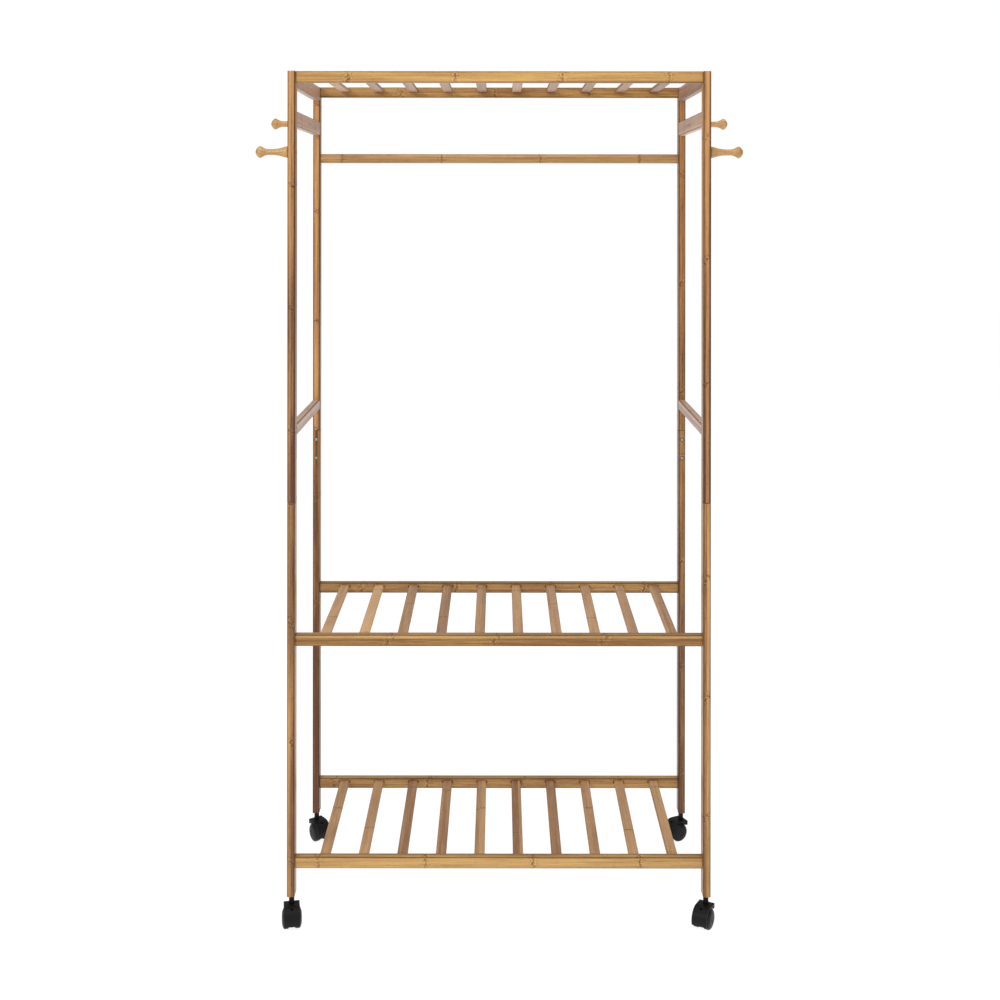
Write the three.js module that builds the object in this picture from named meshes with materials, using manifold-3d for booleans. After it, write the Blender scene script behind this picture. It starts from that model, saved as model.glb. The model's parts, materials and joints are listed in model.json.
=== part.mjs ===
// A rolling clothes rack in bamboo: two side frames joined by three slatted shelves and a hanging rod,
// with four coat pegs and four swivelling twin-wheel casters.
// Millimetres, +Z up. The origin is on the floor, at the middle of the four posts. The front faces -Y.
import * as THREE from "three";
import { mergeVertices } from "three/addons/utils/BufferGeometryUtils.js";
import Module from "manifold-3d";

const wasm = await Module();
wasm.setup();

// ---- Driving dimensions ----
const WIDTH = 810; // over the outer faces of the posts
const DEPTH = 400; // over the front and back faces of the posts
const FRAME_SETBACK = 10.6; // of the posts behind the origin, because the casters trail further forward
const HEIGHT = 1637; // floor to the tops of the posts
const CLEARANCE = 0.3; // between pieces that touch
const SIDES_OF_A_ROUND = 16; // flat faces round a bolt head, bore, peg or stem
const SMALL_SIDES = 12; // and round the thinnest ones
const ROD_SIDES = 28;

const POST_WIDTH = 15; // along X
const POST_DEPTH = 30; // along Y
const EDGE_RADIUS = 3; // rounded long edges of posts and rails
const END_BEVEL = 1.2; // bevel around the ends of a post

const LAP_BOTTOM = 811; // height of the lower end of the half-lap
const LAP_LENGTH = 80;
const LAP_BOLT_INSET = 20; // from each end of the lap
const HEAD_FACE = 0.75; // radius of the flat face of a bolt head, as a share of its own
const HEAD_RIM = 0.35; // height of its rim, as a share of its own
const BOLT = { radius: 2.5, head: 4.4, headHeight: 2, seat: 1.2, reach: 24 };

const TOP_SIDE_RAIL = { height: 30, centre: HEIGHT - 15 };
const PEG_SIDE_RAIL = { height: 30, centre: HEIGHT - 90.4 };
const MIDDLE_SIDE_RAIL = { height: 22, centre: LAP_BOTTOM + LAP_LENGTH + 56 };
const SIDE_TENON = { length: 8, thickness: 8, shoulder: 6 };

const SHELF_RAIL = { height: 22, depth: 18, edge: 2.5 };
const SHELF_TENON = { length: 6, depth: 10, shoulder: 5 };
const SHELF_TOPS = { top: HEIGHT, middle: 557.8, bottom: 132.3 }; // rail tops above the floor
const SLAT = {
  count: 10,
  width: 20,
  thickness: 6,
  endGap: 44.75, // from the inner face of a post to the first slat
  drop: 4.8, // from the top of the rails to the top of the slats
  edge: 1,
  housing: 8, // depth of the slot in the front rail
  shoulder: 0.5, // how much thinner the tongue is than the slat, on each face
};

const ROD = { radius: 10, height: HEIGHT - 155, spigotRadius: 6, spigotLength: 6 };

const PEG = { length: 63, base: 11, neck: 6, head: 11.5, tip: 5, dowelRadius: 5, dowelLength: 7 };
const PEG_FLARE = 24; // from the base to the slim part of the neck
const PEG_HEAD = 21; // from the slim part of the neck to the tip
const PEG_RIM = 3; // height of the straight part at the base
const FRONT_PEG_HEIGHT = ROD.height;
const PEG_SCREW = { radius: 2, head: 3.8, headHeight: 2.2, seat: 2.6, length: 30 };

const WHEEL = { radius: 19, inner: 6.1, tread: 14.5, outer: 18.8, hub: 9 }; // distances along the axle
const WHEEL_CAP = { drop: 2.2, rise: 2.6, edge: 1 }; // the slope beside the tread, and the inner edge
const AXLE = { radius: 3, halfLength: 16 };
const RUNNING_CLEARANCE = 0.5; // between parts that turn on each other
const TRAIL = 13; // from the swivel axis to the axle
const HOOD = {
  halfWidth: 15.2,
  wheelGap: 1.3, // from the wheels to the fender
  wall: 2.3, // thickness of the fender
  lead: 8, // reach of the leading edge past the swivel axis
  leadDrop: 9, // from the flat top down to the lower edge in front
  leadBevel: 1.5,
  lowest: 104, // degrees round the axle from the top to the lower edge of the fender
  belowAxle: 11, // reach of the web between the wheels under the axle
  belowPin: 2, // and under the pin of the stem
};
const HOOD_SLOT = { width: 5.2, height: 5.2, angle: 29 }; // degrees round the axle from the top
const STEM = { pin: 3.5, pinLength: 18.5, collar: 5.5, collarLength: 16.2, thread: 4, length: 30, point: 1 };
const CASTER_ANGLES = { front_left: 10, front_right: -30, back_left: 36, back_right: -63 };

// ---- Derived sizes ----
const postX = (WIDTH - POST_WIDTH) / 2;
const postY = (DEPTH - POST_DEPTH) / 2;
const innerX = postX - POST_WIDTH / 2; // inner faces of the posts
const innerY = postY - POST_DEPTH / 2;
const lapTop = LAP_BOTTOM + LAP_LENGTH;
const hoodInner = WHEEL.radius + HOOD.wheelGap;
const hoodOuter = hoodInner + HOOD.wall;
const hoodTop = WHEEL.radius + hoodOuter;
const pinBottom = hoodTop - STEM.pinLength;
const postFoot = hoodTop + STEM.collarLength + 2 * CLEARANCE; // height of the bottom end of a post
const SIDES = { left: -1, right: 1 };
const ENDS = { front: -1, back: 1 };
const sideRails = { top: TOP_SIDE_RAIL, peg: PEG_SIDE_RAIL, middle: MIDDLE_SIDE_RAIL };

// ---- Materials ----
const bamboo = () => new THREE.MeshStandardMaterial({ color: 0xb48a58, roughness: 0.5 });
const steel = () => new THREE.MeshStandardMaterial({ color: 0xb8b8b4, roughness: 0.3, metalness: 1 });
const blackPlastic = () => new THREE.MeshStandardMaterial({ color: 0x1b1b1e, roughness: 0.45 });

// ---- Solids ----

// A closed three.js geometry as a solid that can be joined and cut.
function solid(geometry) {
  const bare = geometry.clone();
  bare.deleteAttribute("normal");
  bare.deleteAttribute("uv");
  const merged = mergeVertices(bare, 1e-4);
  const corners = merged.index.array;
  const triangles = [];
  for (let i = 0; i < corners.length; i += 3) {
    const [a, b, c] = corners.slice(i, i + 3);
    if (a !== b && b !== c && c !== a) triangles.push(a, b, c);
  }
  return new wasm.Manifold(
    new wasm.Mesh({
      numProp: 3,
      vertProperties: new Float32Array(merged.attributes.position.array),
      triVerts: new Uint32Array(triangles),
    }),
  );
}

// A box between two opposite corners, given in any order.
function block(from, to) {
  const size = to.map((value, i) => Math.abs(value - from[i]));
  const middle = to.map((value, i) => (value + from[i]) / 2);
  return solid(new THREE.BoxGeometry(...size).translate(...middle));
}

// A round solid about the Z axis from [radius, z] pairs that start and end on the axis, going up.
function turned(profile, sides) {
  const points = profile.map(([radius, z]) => new THREE.Vector2(radius, z));
  return solid(new THREE.LatheGeometry(points, sides).rotateX(Math.PI / 2));
}

function cylinder(radius, from, to, sides = SIDES_OF_A_ROUND) {
  return turned([[0, from], [radius, from], [radius, to], [0, to]], sides);
}

// Turns a solid made about Z to point along another axis.
const alongX = (body, sign = 1) => body.rotate([0, 90 * sign, 0]);
const alongY = (body, sign = 1) => body.rotate([-90 * sign, 0, 0]);

// A rectangle with round corners, centred on the origin.
function roundedRectangle(width, height, radius) {
  const [x, y] = [width / 2, height / 2];
  const shape = new THREE.Shape();
  shape.moveTo(radius - x, -y);
  shape.lineTo(x - radius, -y);
  shape.absarc(x - radius, radius - y, radius, -Math.PI / 2, 0);
  shape.lineTo(x, y - radius);
  shape.absarc(x - radius, y - radius, radius, 0, Math.PI / 2);
  shape.lineTo(radius - x, y);
  shape.absarc(radius - x, y - radius, radius, Math.PI / 2, Math.PI);
  shape.lineTo(-x, radius - y);
  shape.absarc(radius - x, radius - y, radius, Math.PI, 1.5 * Math.PI);
  return shape;
}

// A bar along Z from z = 0, with long edges rounded in steps and, if asked, bevelled ends.
function bar(width, depth, length, radius, steps = 2, bevel = 0) {
  return solid(
    new THREE.ExtrudeGeometry(roundedRectangle(width, depth, radius), {
      depth: length - 2 * bevel,
      curveSegments: steps,
      bevelEnabled: bevel > 0,
      bevelThickness: bevel,
      bevelSize: bevel,
      bevelOffset: -bevel,
      bevelSegments: 1,
    }).translate(0, 0, bevel),
  );
}

const join = (bodies) => bodies.reduce((whole, body) => whole.add(body));
const cut = (body, tools) => tools.reduce((rest, tool) => rest.subtract(tool), body);

// ---- Scene graph ----
const rack = new THREE.Group();
rack.position.y = FRAME_SETBACK;

function addPiece(parent, name, body, material, place = [0, 0, 0]) {
  const { vertProperties, triVerts } = body.getMesh();
  const geometry = new THREE.BufferGeometry();
  geometry.setAttribute("position", new THREE.BufferAttribute(vertProperties, 3));
  geometry.setIndex(new THREE.BufferAttribute(triVerts, 1));
  geometry.computeVertexNormals();
  const mesh = new THREE.Mesh(geometry, material);
  mesh.name = name;
  mesh.position.set(...place);
  parent.add(mesh);
}

// ---- Posts ----
// A post stands on the Z axis of its own group. side and end point outwards along X and Y.

// The pocket for the tenon of a side rail, in the face of the post that looks at the other post.
function sideMortise({ height, centre }, end) {
  const reach = SIDE_TENON.length + CLEARANCE;
  const halfX = SIDE_TENON.thickness / 2 + CLEARANCE;
  const halfZ = height / 2 - SIDE_TENON.shoulder + CLEARANCE;
  const face = (-end * POST_DEPTH) / 2;
  return block([-halfX, face - end, centre - halfZ], [halfX, face + end * reach, centre + halfZ]);
}

// The pocket for the tenon of a shelf rail, in the inner face of the post.
function shelfMortise(railTop, side) {
  const reach = SHELF_TENON.length + CLEARANCE;
  const halfY = SHELF_TENON.depth / 2 + CLEARANCE;
  const halfZ = SHELF_RAIL.height / 2 - SHELF_TENON.shoulder + CLEARANCE;
  const centre = railTop - SHELF_RAIL.height / 2;
  const face = (-side * POST_WIDTH) / 2;
  return block([face - side, -halfY, centre - halfZ], [face + side * reach, halfY, centre + halfZ]);
}

// The holes for a peg's dowel and its screw, through a 15 mm thick piece, from the outer face inwards.
function pegHole(side, thickness) {
  const dowel = cylinder(PEG.dowelRadius + CLEARANCE, thickness / 2 - PEG.dowelLength - CLEARANCE, thickness);
  const shank = cylinder(PEG_SCREW.radius + CLEARANCE, -thickness, thickness, SMALL_SIDES);
  const seat = cylinder(PEG_SCREW.head + CLEARANCE, -thickness, PEG_SCREW.seat - thickness / 2);
  return alongX(join([dowel, shank, seat]), side);
}

// The holes for one bolt of the lap: its head is let into the inner face.
function lapBoltHole(end) {
  const face = -POST_DEPTH / 2;
  const shankEnd = face + BOLT.seat + BOLT.reach + CLEARANCE;
  const shank = cylinder(BOLT.radius + CLEARANCE, face - CLEARANCE, shankEnd, SMALL_SIDES);
  const seat = cylinder(BOLT.head + CLEARANCE, face - CLEARANCE, face + BOLT.seat);
  return alongY(join([shank, seat]), end);
}

const lapBoltHeights = [LAP_BOTTOM + LAP_BOLT_INSET, lapTop - LAP_BOLT_INSET];
const lapBoltHoles = (end) => lapBoltHeights.map((z) => lapBoltHole(end).translate([0, 0, z]));

function upperPost(side, end) {
  const length = HEIGHT - LAP_BOTTOM;
  const blank = bar(POST_WIDTH, POST_DEPTH, length, EDGE_RADIUS, 3, END_BEVEL).translate([0, 0, LAP_BOTTOM]);
  const halfLap = block(
    [-POST_WIDTH, -end * POST_DEPTH, LAP_BOTTOM - CLEARANCE],
    [POST_WIDTH, (end * CLEARANCE) / 2, lapTop],
  );
  const rodReach = ROD.spigotLength + CLEARANCE - POST_WIDTH / 2;
  const rodSocket = alongX(cylinder(ROD.spigotRadius + CLEARANCE, -POST_WIDTH, rodReach), side);
  const atRod = end === ENDS.front
    ? pegHole(side, POST_WIDTH).translate([0, 0, FRONT_PEG_HEIGHT])
    : rodSocket.translate([0, 0, ROD.height]);
  return cut(blank, [
    halfLap,
    atRod,
    ...lapBoltHoles(end),
    ...Object.values(sideRails).map((rail) => sideMortise(rail, end)),
    shelfMortise(SHELF_TOPS.top, side),
  ]);
}

function lowerPost(side, end) {
  const length = lapTop - CLEARANCE - postFoot;
  const blank = bar(POST_WIDTH, POST_DEPTH, length, EDGE_RADIUS, 3, END_BEVEL).translate([0, 0, postFoot]);
  const halfLap = block(
    [-POST_WIDTH, end * POST_DEPTH, LAP_BOTTOM - CLEARANCE],
    [POST_WIDTH, (-end * CLEARANCE) / 2, lapTop + CLEARANCE],
  );
  return cut(blank, [
    halfLap,
    ...lapBoltHoles(end),
    shelfMortise(SHELF_TOPS.middle, side),
    shelfMortise(SHELF_TOPS.bottom, side),
    cylinder(STEM.thread + CLEARANCE, postFoot - CLEARANCE, postFoot + STEM.length + CLEARANCE),
  ]);
}

// A low-headed bolt along Z, pointing up from the face under its head.
function headedPin({ radius, head, headHeight }, reach, sides) {
  const [faceRadius, rimHeight] = [HEAD_FACE * head, HEAD_RIM * headHeight];
  return turned([
    [0, -headHeight], [faceRadius, -headHeight], [head, -rimHeight], [head, 0],
    [radius, 0], [radius, reach], [0, reach],
  ], sides);
}

for (const [sideName, side] of Object.entries(SIDES)) {
  for (const [endName, end] of Object.entries(ENDS)) {
    const place = [side * postX, end * postY, 0];
    const name = `${endName}_${sideName}`;
    addPiece(rack, `${name}_upper_post`, upperPost(side, end), bamboo(), place);
    addPiece(rack, `${name}_lower_post`, lowerPost(side, end), bamboo(), place);
    lapBoltHeights.forEach((z, i) => {
      const bolt = alongY(headedPin(BOLT, BOLT.reach, SIDES_OF_A_ROUND), end);
      const seat = end * (postY - POST_DEPTH / 2 + BOLT.seat - CLEARANCE);
      addPiece(rack, `${name}_lap_bolt_${i + 1}`, bolt, steel(), [side * postX, seat, z]);
    });
  }
}

// ---- Side rails ----
function sideRail({ height }, side, hasPeg) {
  const halfLength = innerY - CLEARANCE;
  const body = alongY(bar(POST_WIDTH, height, 2 * halfLength, EDGE_RADIUS)).translate([0, -halfLength, 0]);
  const reach = innerY + SIDE_TENON.length;
  const [halfX, halfZ] = [SIDE_TENON.thickness / 2, height / 2 - SIDE_TENON.shoulder];
  const whole = body.add(block([-halfX, -reach, -halfZ], [halfX, reach, halfZ]));
  return hasPeg ? whole.subtract(pegHole(side, POST_WIDTH)) : whole;
}

for (const [sideName, side] of Object.entries(SIDES)) {
  for (const [railName, rail] of Object.entries(sideRails)) {
    const body = sideRail(rail, side, railName === "peg");
    addPiece(rack, `${sideName}_${railName}_side_rail`, body, bamboo(), [side * postX, 0, rail.centre]);
  }
}

// ---- Shelves ----
// Each shelf has its own group at the middle of its rail tops.
// Its slats run from the back rail to the front rail.
const slatPitch = (2 * (innerX - SLAT.endGap) - SLAT.width) / (SLAT.count - 1);
const slatPlaces = Array.from({ length: SLAT.count }, (_, i) => (i - (SLAT.count - 1) / 2) * slatPitch);
const railFace = postY - SHELF_RAIL.depth / 2; // the face of a shelf rail that looks at the other rail

function shelfRail(end) {
  const { height, depth, edge } = SHELF_RAIL;
  const halfLength = innerX - CLEARANCE;
  const body = alongX(bar(height, depth, 2 * halfLength, edge)).translate([-halfLength, 0, 0]);
  const reach = innerX + SHELF_TENON.length;
  const [halfY, halfZ] = [SHELF_TENON.depth / 2, height / 2 - SHELF_TENON.shoulder];
  const tenons = block([-reach, -halfY, -halfZ], [reach, halfY, halfZ]);
  return body.add(tenons).translate([0, end * postY, -height / 2]);
}

// The housing in the front rail that takes the end of a slat.
function slatHousing(x) {
  const halfX = SLAT.width / 2 + CLEARANCE;
  const top = CLEARANCE - SLAT.drop;
  return block(
    [x - halfX, CLEARANCE - railFace, top],
    [x + halfX, -railFace - SLAT.housing - CLEARANCE, top - SLAT.thickness - 2 * CLEARANCE],
  );
}

// One slat, let into the back rail, and with a thinner tongue where it enters the front rail.
function slat(x) {
  const { width, thickness, drop, edge, housing, shoulder } = SLAT;
  const start = CLEARANCE - railFace;
  const height = -drop - thickness / 2;
  const strip = alongY(bar(width, thickness, railFace + edge - start, edge, 1))
    .translate([x, start, height]);
  const tongue = block(
    [x - width / 2 + shoulder, edge - railFace, -drop - shoulder],
    [x + width / 2 - shoulder, -railFace - housing, -drop - thickness + shoulder],
  );
  return strip.add(tongue);
}

for (const [shelfName, railTop] of Object.entries(SHELF_TOPS)) {
  const shelf = new THREE.Group();
  shelf.position.z = railTop;
  rack.add(shelf);
  const frontRail = cut(shelfRail(ENDS.front), slatPlaces.map(slatHousing));
  addPiece(shelf, `${shelfName}_front_shelf_rail`, frontRail, bamboo());
  const backRailAndSlats = join([shelfRail(ENDS.back), ...slatPlaces.map(slat)]);
  addPiece(shelf, `${shelfName}_back_rail_and_slats`, backRailAndSlats, bamboo());
}

// ---- Hanging rod, between the back posts ----
function hangingRod() {
  const half = innerX - CLEARANCE;
  const reach = innerX + ROD.spigotLength;
  const { radius, spigotRadius } = ROD;
  return alongX(turned([
    [0, -reach], [spigotRadius, -reach], [spigotRadius, -half], [radius, -half],
    [radius, half], [spigotRadius, half], [spigotRadius, reach], [0, reach],
  ], ROD_SIDES));
}
addPiece(rack, "hanging_rod", hangingRod(), bamboo(), [0, postY, ROD.height]);

// ---- Coat pegs ----
// Turned about Z, pointing up from the face that the peg is fixed to.
function peg() {
  const { length, base, neck, head, tip, dowelRadius, dowelLength } = PEG;
  const headStart = length - PEG_HEAD;
  const body = turned([
    [0, -dowelLength], [dowelRadius, -dowelLength], [dowelRadius, CLEARANCE], [base, CLEARANCE],
    [base, PEG_RIM], [(neck + base) / 2, PEG_FLARE / 2], [neck, PEG_FLARE],
    [neck, headStart], [(neck + head) / 2, headStart + PEG_HEAD / 3], [head, headStart + PEG_HEAD / 2],
    [head, length - PEG_HEAD / 3], [(head + tip) / 2, length - PEG_HEAD / 8],
    [tip, length - CLEARANCE], [0, length],
  ], SIDES_OF_A_ROUND);
  const screwTip = PEG_SCREW.seat + PEG_SCREW.length - POST_WIDTH;
  const pilotRadius = PEG_SCREW.radius + CLEARANCE;
  const pilot = cylinder(pilotRadius, -dowelLength - CLEARANCE, screwTip + CLEARANCE, SMALL_SIDES);
  return body.subtract(pilot);
}

const pegPlaces = {
  front: [-postY, FRONT_PEG_HEIGHT],
  side: [0, PEG_SIDE_RAIL.centre],
};
for (const [sideName, side] of Object.entries(SIDES)) {
  for (const [pegName, [y, z]] of Object.entries(pegPlaces)) {
    const face = side * (postX + POST_WIDTH / 2);
    const screwFace = side * (innerX + PEG_SCREW.seat - CLEARANCE);
    const screw = headedPin(PEG_SCREW, PEG_SCREW.length, SMALL_SIDES);
    addPiece(rack, `${sideName}_${pegName}_peg`, alongX(peg(), side), bamboo(), [face, y, z]);
    addPiece(rack, `${sideName}_${pegName}_peg_screw`, alongX(screw, side), steel(), [screwFace, y, z]);
  }
}

// ---- Casters ----
// Each caster stands at the foot of a post. Its swivel group turns about the stem, and trails towards -Y.

// Fixed in the post: threaded above the collar, and a smooth pin below it that the hood turns on.
function stem() {
  const { pin, collar, collarLength, thread, length, point } = STEM;
  const stemTop = postFoot + length;
  const collarBottom = hoodTop + CLEARANCE;
  const collarTop = collarBottom + collarLength;
  return turned([
    [0, pinBottom], [pin, pinBottom], [pin, collarBottom], [collar, collarBottom],
    [collar, collarTop], [thread, collarTop], [thread, stemTop - point],
    [thread - point, stemTop], [0, stemTop],
  ], SIDES_OF_A_ROUND);
}

// A point in the plane of the wheels, as [y, z], at an angle round the axle
// from straight up towards the trailing side.
function roundAxle(radius, degrees) {
  const angle = THREE.MathUtils.degToRad(degrees);
  return [-TRAIL - radius * Math.sin(angle), WHEEL.radius + radius * Math.cos(angle)];
}

function arcRoundAxle(radius, from, to, steps) {
  return Array.from({ length: steps + 1 }, (_, i) => roundAxle(radius, from + ((to - from) * i) / steps));
}

// A plate with an outline given as [y, z] points, reaching halfWidth to each side of the swivel axis.
function plate(outline, halfWidth) {
  const shape = new THREE.Shape(outline.map(([y, z]) => new THREE.Vector2(y, z)));
  const settings = { depth: 2 * halfWidth, bevelEnabled: false, curveSegments: 1 };
  const geometry = new THREE.ExtrudeGeometry(shape, settings);
  // The outline's own x and y become Y and Z.
  const toWheelPlane = new THREE.Matrix4().makeBasis(
    new THREE.Vector3(0, 1, 0), new THREE.Vector3(0, 0, 1), new THREE.Vector3(1, 0, 0),
  );
  return solid(geometry.translate(0, 0, -halfWidth).applyMatrix4(toWheelPlane));
}

// The fender over both wheels, with a flat top in front for the stem, and the web between the wheels.
function hood() {
  const { halfWidth, lead, leadDrop, leadBevel, lowest, belowAxle, belowPin } = HOOD;
  const web = WHEEL.inner - RUNNING_CLEARANCE;
  const leadBottom = hoodTop - leadDrop;
  const leadAngle = -THREE.MathUtils.radToDeg(Math.acos((leadBottom - WHEEL.radius) / hoodInner));
  const fender = plate([
    ...arcRoundAxle(hoodOuter, lowest, 0, 10),
    [lead - leadBevel, hoodTop], [lead, hoodTop - leadBevel], [lead, leadBottom],
    ...arcRoundAxle(hoodInner, leadAngle, lowest, 12),
  ], halfWidth);
  const insideFender = (hoodInner + hoodOuter) / 2;
  const plateBetweenWheels = plate([
    ...arcRoundAxle(insideFender, 0, lowest, 10), [-TRAIL, WHEEL.radius - belowAxle],
    [lead, pinBottom - belowPin], [lead, hoodTop - 2 * leadBevel],
  ], web);
  const axleHole = alongX(cylinder(AXLE.radius + CLEARANCE, -halfWidth, halfWidth))
    .translate([0, -TRAIL, WHEEL.radius]);
  const pinHole = cylinder(STEM.pin + CLEARANCE, pinBottom - CLEARANCE, hoodTop + CLEARANCE);
  const { width, height, angle } = HOOD_SLOT;
  const slot = block([-width / 2, -height / 2, -HOOD.wall], [width / 2, height / 2, 2 * HOOD.wall])
    .rotate([angle, 0, 0])
    .translate([0, ...roundAxle(hoodInner, angle)]);
  return cut(fender.add(plateBetweenWheels), [axleHole, pinHole, slot]);
}

// A wheel on the +X side: a flat tread, a domed outer cap, and a blind bore for the axle.
function wheel() {
  const { radius, inner, tread, outer, hub } = WHEEL;
  const { drop, rise, edge } = WHEEL_CAP;
  const boreEnd = AXLE.halfLength + RUNNING_CLEARANCE;
  const bore = cylinder(AXLE.radius + RUNNING_CLEARANCE, inner - CLEARANCE, boreEnd);
  const sides = 36;
  const acrossCorners = radius / Math.cos(Math.PI / sides);
  const body = turned([
    [0, inner], [acrossCorners - edge, inner], [acrossCorners, inner + edge], [acrossCorners, tread],
    [acrossCorners - drop, tread + rise], [hub, outer], [0, outer],
  ], sides).rotate([0, 0, 180 / sides]);
  return alongX(body.subtract(bore));
}

function addCaster(name, x, y) {
  const caster = new THREE.Group();
  caster.position.set(x, y, 0);
  rack.add(caster);
  addPiece(caster, `${name}_caster_stem`, stem(), steel());
  const swivel = new THREE.Group();
  swivel.rotation.z = THREE.MathUtils.degToRad(CASTER_ANGLES[name]);
  caster.add(swivel);
  const axlePlace = [0, -TRAIL, WHEEL.radius];
  addPiece(swivel, `${name}_caster_hood`, hood(), blackPlastic());
  const axle = alongX(cylinder(AXLE.radius, -AXLE.halfLength, AXLE.halfLength));
  addPiece(swivel, `${name}_caster_axle`, axle, steel(), axlePlace);
  addPiece(swivel, `${name}_caster_right_wheel`, wheel(), blackPlastic(), axlePlace);
  addPiece(swivel, `${name}_caster_left_wheel`, wheel().rotate([0, 0, 180]), blackPlastic(), axlePlace);
}

for (const [sideName, side] of Object.entries(SIDES)) {
  for (const [endName, end] of Object.entries(ENDS)) {
    addCaster(`${endName}_${sideName}`, side * postX, end * postY);
  }
}

export default rack;
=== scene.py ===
"""The looks of a rolling bamboo clothes rack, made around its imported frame.

Metres, +Z up. The front faces -Y, and +X is to the right as seen from the front.
"""
import json
import math

import bmesh
import bpy
from mathutils import Matrix, Vector


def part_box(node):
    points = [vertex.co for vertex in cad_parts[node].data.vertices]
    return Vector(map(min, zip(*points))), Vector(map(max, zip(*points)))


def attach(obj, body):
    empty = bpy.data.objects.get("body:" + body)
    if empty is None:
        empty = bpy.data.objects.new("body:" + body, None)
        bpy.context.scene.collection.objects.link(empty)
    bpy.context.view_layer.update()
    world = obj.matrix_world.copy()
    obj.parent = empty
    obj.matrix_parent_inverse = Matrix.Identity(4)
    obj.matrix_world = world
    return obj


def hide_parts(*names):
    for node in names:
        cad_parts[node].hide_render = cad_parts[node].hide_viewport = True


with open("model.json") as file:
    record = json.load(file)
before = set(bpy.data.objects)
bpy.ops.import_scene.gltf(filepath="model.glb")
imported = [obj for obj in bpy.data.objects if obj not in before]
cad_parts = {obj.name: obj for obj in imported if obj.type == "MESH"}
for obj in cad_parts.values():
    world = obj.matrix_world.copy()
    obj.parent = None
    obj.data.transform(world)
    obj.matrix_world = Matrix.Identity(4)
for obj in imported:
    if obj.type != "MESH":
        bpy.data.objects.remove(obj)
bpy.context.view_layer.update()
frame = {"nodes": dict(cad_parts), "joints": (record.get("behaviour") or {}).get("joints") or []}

MM = 0.001
SIDES = {"left": -1, "right": 1}
ENDS = {"front": -1, "back": 1}
SHELVES = ("top", "middle", "bottom")
AXES = {"x": Vector((1, 0, 0)), "y": Vector((0, 1, 0)), "z": Vector((0, 0, 1))}

# ---- Sizes that the frame's boxes don't give ----
EDGE_RADIUS = 3 * MM  # round long edges of the posts and side rails
RAIL_EDGE = 2.5 * MM
SLAT_EDGE = 1 * MM
SOFT_EDGE = 0.5 * MM  # every other wooden edge
SEAM = 0.3 * MM  # between pieces that touch
SHELF_RAIL_DEPTH = 18 * MM
SLAT_COUNT = 10
SLAT_WIDTH = 20 * MM
SLAT_THICKNESS = 6 * MM
SLAT_DROP = 4.8 * MM  # from the top of a rail to the top of the slats
SLAT_END_GAP = 44.75 * MM  # from the inner face of a post to the first slat
SLAT_HOUSED = 8 * MM
SLOT_EXTRA = {"top": 0.4 * MM, "middle": 1.8 * MM, "bottom": 1.8 * MM}  # on each side of a slat
BOLT_HEAD = 4.2 * MM  # radius of the hole for a lap bolt's head
BOLT_SEAT = 2.0 * MM  # depth of that hole
BOLT_SUNK = 1.9 * MM  # the rail bolts' heads are level with the outer faces
SCREW_SEAT = 4.4 * MM  # depth of the hole over a peg's screw
TINY = 0.01 * MM  # places closer than this are the same place

# ---- Camera ----
LENS = 50.4
SENSOR = 36
CAMERA_DISTANCE = 2.673  # in front of the front faces of the posts
CAMERA_HEIGHT = 1.3788
CAMERA_ROLL = 0.05  # degrees
SHIFT_X = 0.0007
SHIFT_Y = -0.294  # a level camera, with the picture shifted down to the rack

# ---- Light ----
ROOM_LIGHT = 0.45
FLAG_LIGHT = 0.2
FLAG_EDGES = (0.45, 0.85)  # how far sideways the flags begin, and are full
BEHIND_LIGHT = 1.02  # plain white behind the rack
FLOOR_GLOW = 0.9
LIGHTS = {  # place, aim, size and power
    "key": ((-2.4, -3.4, 3.0), (0, 0, 0.9), (1.0, 1.0), 72),
    "top": ((0, -0.5, 3.6), (0, 0, 0.5), (1.8, 1.4), 32),
    "fill": ((2.6, -3.0, 1.8), (0, 0, 0.8), (2.0, 2.0), 20),
}


# ---- Modelling ----
def start(name):
    """Names the new object, puts its place in its mesh and opens it for editing."""
    piece = bpy.context.object
    piece.name = piece.data.name = name
    bpy.ops.object.transform_apply(location=True, rotation=True, scale=True)
    bpy.ops.object.mode_set(mode="EDIT")
    return piece


def start_block(name, low, high):
    bpy.ops.object.select_all(action="DESELECT")
    low, high = Vector(low), Vector(high)
    bpy.ops.mesh.primitive_cube_add(size=1, location=(low + high) / 2)
    bpy.context.object.scale = high - low
    return start(name)


def select(kind, test):
    """In edit mode, selects just the edges or faces that pass a test."""
    bpy.ops.mesh.select_mode(type=kind)
    bpy.ops.mesh.select_all(action="DESELECT")
    mesh = bpy.context.object.data
    shape = bmesh.from_edit_mesh(mesh)
    shape.normal_update()
    for item in shape.edges if kind == "EDGE" else shape.faces:
        if test(item):
            item.select_set(True)
    bmesh.update_edit_mesh(mesh)


def along(axis):
    """A test for edges that run along an axis."""
    def test(edge):
        run = edge.verts[1].co - edge.verts[0].co
        return abs(run.normalized().dot(AXES[axis])) > 0.999
    return test


def facing(direction):
    return lambda face: face.normal.dot(Vector(direction)) > 0.99


def round_edges(test, radius, steps=4):
    select("EDGE", test)
    bpy.ops.mesh.bevel(offset=radius, segments=steps, affect="EDGES")


def use_modifier(piece, kind, **settings):
    bpy.ops.object.select_all(action="DESELECT")
    piece.select_set(True)
    bpy.context.view_layer.objects.active = piece
    modifier = piece.modifiers.new(kind.lower(), kind)
    for key, value in settings.items():
        setattr(modifier, key, value)
    bpy.ops.object.modifier_apply(modifier=modifier.name)


def close(piece, soft=SOFT_EDGE):
    """Leaves edit mode and takes the sharpness off the remaining edges."""
    bpy.ops.object.mode_set(mode="OBJECT")
    if soft:
        use_modifier(piece, "BEVEL", width=soft, segments=2, limit_method="ANGLE",
                     angle_limit=math.radians(50))
    return piece


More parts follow.
